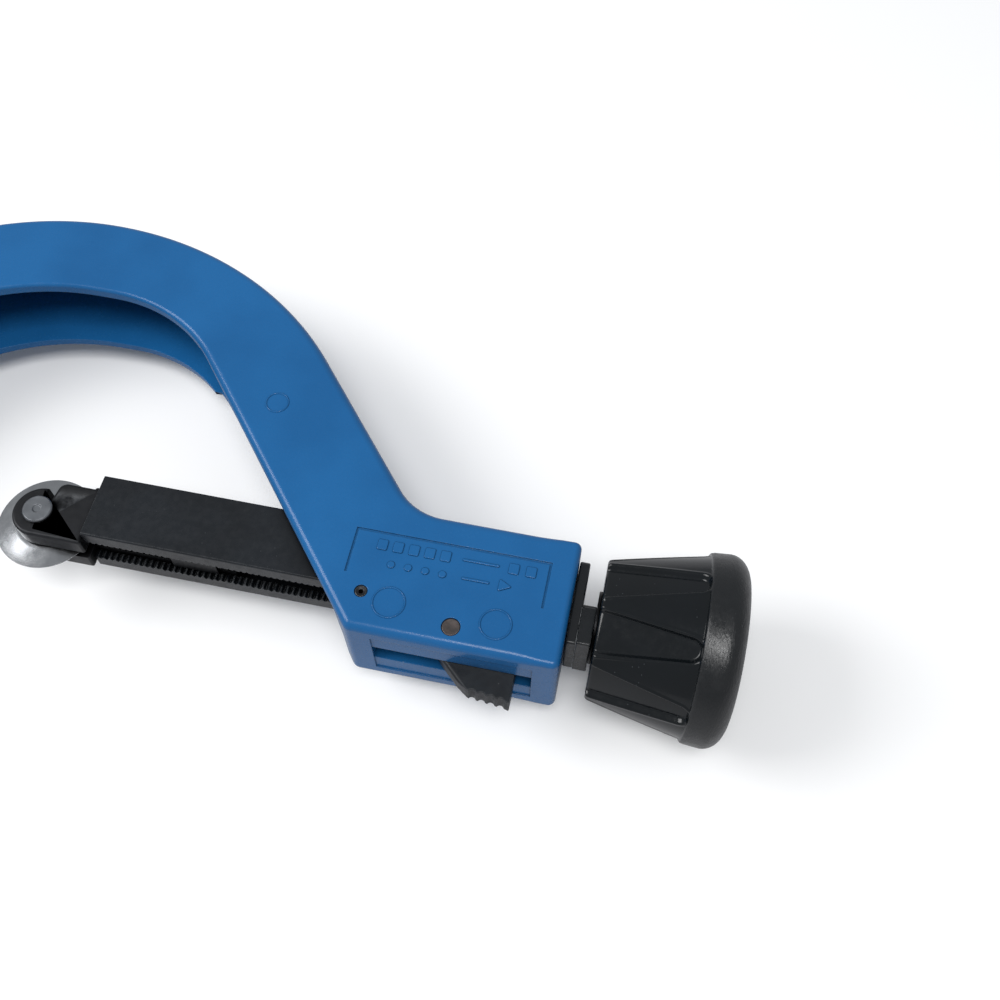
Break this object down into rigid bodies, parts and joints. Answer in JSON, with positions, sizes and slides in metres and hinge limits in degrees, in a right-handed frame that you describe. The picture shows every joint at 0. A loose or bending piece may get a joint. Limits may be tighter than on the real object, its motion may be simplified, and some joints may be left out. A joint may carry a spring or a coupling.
{
  "type": "quick-adjusting plastic pipe cutter",
  "caption": "C-shaped roller pipe cutter with a toothed sliding rail, thumb release latch and a knob-driven screw that feeds the cutting wheel.",
  "frame": {"origin": "centre of the largest pipe the jaw takes, on the feed-screw axis, midway across the tool", "axes": "+X along the feed screw towards the knob, +Y towards the back of the arch, +Z across the tool; the tool lies flat on its side"},
  "size_m": [0.3639, 0.1858, 0.0632],
  "materials": {
    "blue_casting": "gloss",
    "black_anodised": "satin",
    "black_cast": "satin",
    "knob_plastic": "gloss",
    "lever_steel": "satin",
    "rivet_steel": "satin",
    "screw_steel": "satin",
    "black_oxide": "satin",
    "spring_steel": "satin",
    "wheel_steel": "polished",
    "roller_metal": "satin"
  },
  "bodies": {
    "frame": {"frame": "blue_casting", "rail_stop_screw": "black_oxide", "lever_pin": "rivet_steel", "pawl_pin": "rivet_steel", "latch_spring": "spring_steel", "upper_roller_axle": "rivet_steel", "lower_roller_axle": "rivet_steel"},
    "rail": {"slide_rail": "black_anodised", "rail_end_block": "black_cast", "end_block_screws": "black_oxide"},
    "screw": {"feed_screw": "screw_steel", "thrust_washer": "black_oxide", "screw_retaining_ring": "spring_steel", "knob": "knob_plastic", "knob_nut": "screw_steel", "knob_cap": "knob_plastic"},
    "carriage": {"wheel_carriage": "black_cast", "feed_nut": "black_oxide", "wheel_axle": "screw_steel", "wheel_axle_clip": "spring_steel"},
    "wheel": {"cutter_wheel": "wheel_steel"},
    "lever": {"release_lever": "lever_steel"},
    "pawl": {"latch_pawl": "black_oxide"},
    "upper_near": {"upper_roller_near": "roller_metal"},
    "upper_far": {"upper_roller_far": "roller_metal"},
    "lower_near": {"lower_roller_near": "roller_metal"},
    "lower_far": {"lower_roller_far": "roller_metal"}
  },
  "joints": [
    {"name": "rail_slide", "type": "slide", "parent": "frame", "child": "rail", "axis": [1, 0, 0], "range_m": [0, 0.088]},
    {"name": "knob_spin", "type": "hinge", "parent": "rail", "child": "screw", "pos_m": [0.2, 0, 0], "axis": [-1, 0, 0], "range_deg": [0, 4320]},
    {"name": "carriage_feed", "type": "slide", "parent": "rail", "child": "carriage", "axis": [-1, 0, 0], "range_m": [0, 0.01802]},
    {"name": "wheel_spin", "type": "hinge", "parent": "carriage", "child": "wheel", "pos_m": [0.012, 0, 0], "axis": [0, 0, 1], "continuous": true},
    {"name": "lever_press", "type": "hinge", "parent": "frame", "child": "lever", "pos_m": [0.1582, -0.0167, 0], "axis": [0, 0, 1], "range_deg": [0, 16]},
    {"name": "pawl_lift", "type": "hinge", "parent": "frame", "child": "pawl", "pos_m": [0.1278, -0.01055, 0], "axis": [0, 0, 1], "range_deg": [-5.9, 0], "deforming": ["latch_spring"]},
    {"name": "upper_near_spin", "type": "hinge", "parent": "frame", "child": "upper_near", "pos_m": [-0.08247, 0.03846, 0], "axis": [0, 0, 1], "continuous": true},
    {"name": "upper_far_spin", "type": "hinge", "parent": "frame", "child": "upper_far", "pos_m": [-0.08247, 0.03846, 0], "axis": [0, 0, 1], "continuous": true},
    {"name": "lower_near_spin", "type": "hinge", "parent": "frame", "child": "lower_near", "pos_m": [-0.08247, -0.03846, 0], "axis": [0, 0, 1], "continuous": true},
    {"name": "lower_far_spin", "type": "hinge", "parent": "frame", "child": "lower_far", "pos_m": [-0.08247, -0.03846, 0], "axis": [0, 0, 1], "continuous": true}
  ],
  "couplings": [
    {"joint": "carriage_feed", "follows": "knob_spin", "m_per_rad": 0.00023873},
    {"joint": "pawl_lift", "follows": "lever_press", "ratio": -0.36}
  ]
}
